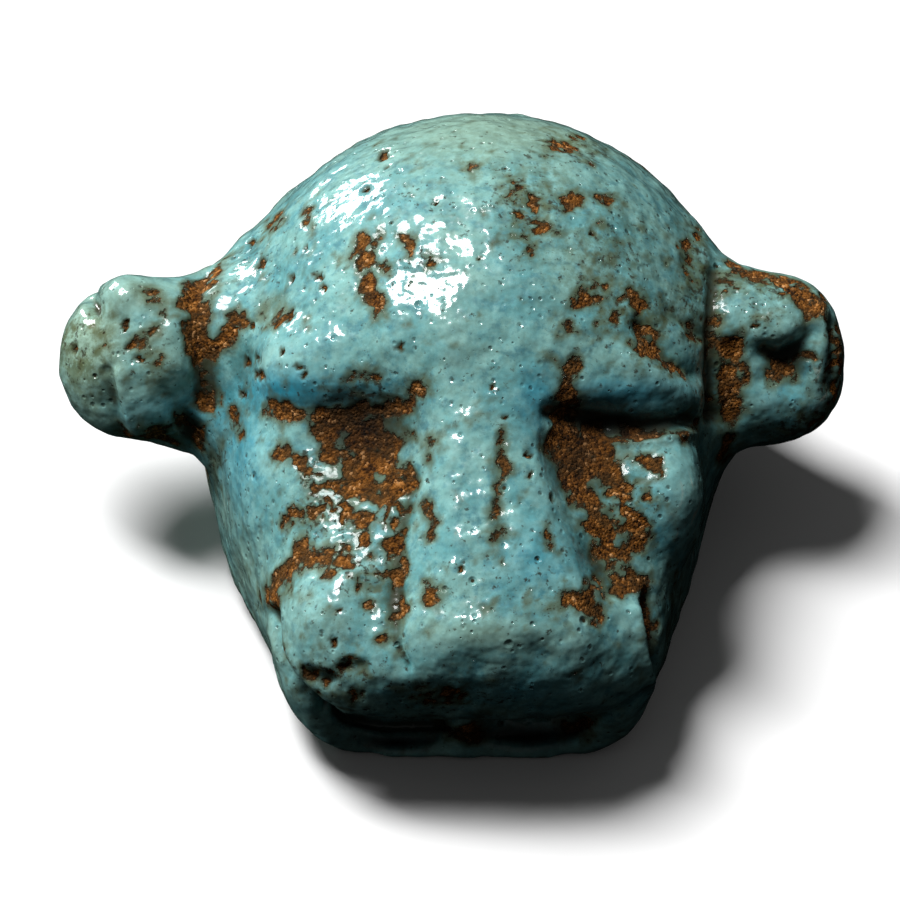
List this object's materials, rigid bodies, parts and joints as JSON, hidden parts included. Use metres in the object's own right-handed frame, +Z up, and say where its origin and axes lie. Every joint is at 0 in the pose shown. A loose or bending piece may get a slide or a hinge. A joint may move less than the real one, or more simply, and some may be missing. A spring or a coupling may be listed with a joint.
{
  "type": "amulet bead",
  "caption": "Moulded head of a lioness with round ears set low, a broad blunt muzzle and an open mouth, flat beneath and pierced from side to side for a string.",
  "frame": {"origin": "middle of the bounding box, at the height of the flat underside", "axes": "+Z up through the crown, the face looks along -Y, +X towards the ear on the viewer's right"},
  "size_m": [0.0179, 0.0158, 0.0093],
  "materials": {
    "faience": "glossy turquoise glaze, pitted and worn through to a rough brown core in the hollows"
  },
  "bodies": {
    "root": {"lioness_head_bead": "faience"}
  },
  "joints": []
}
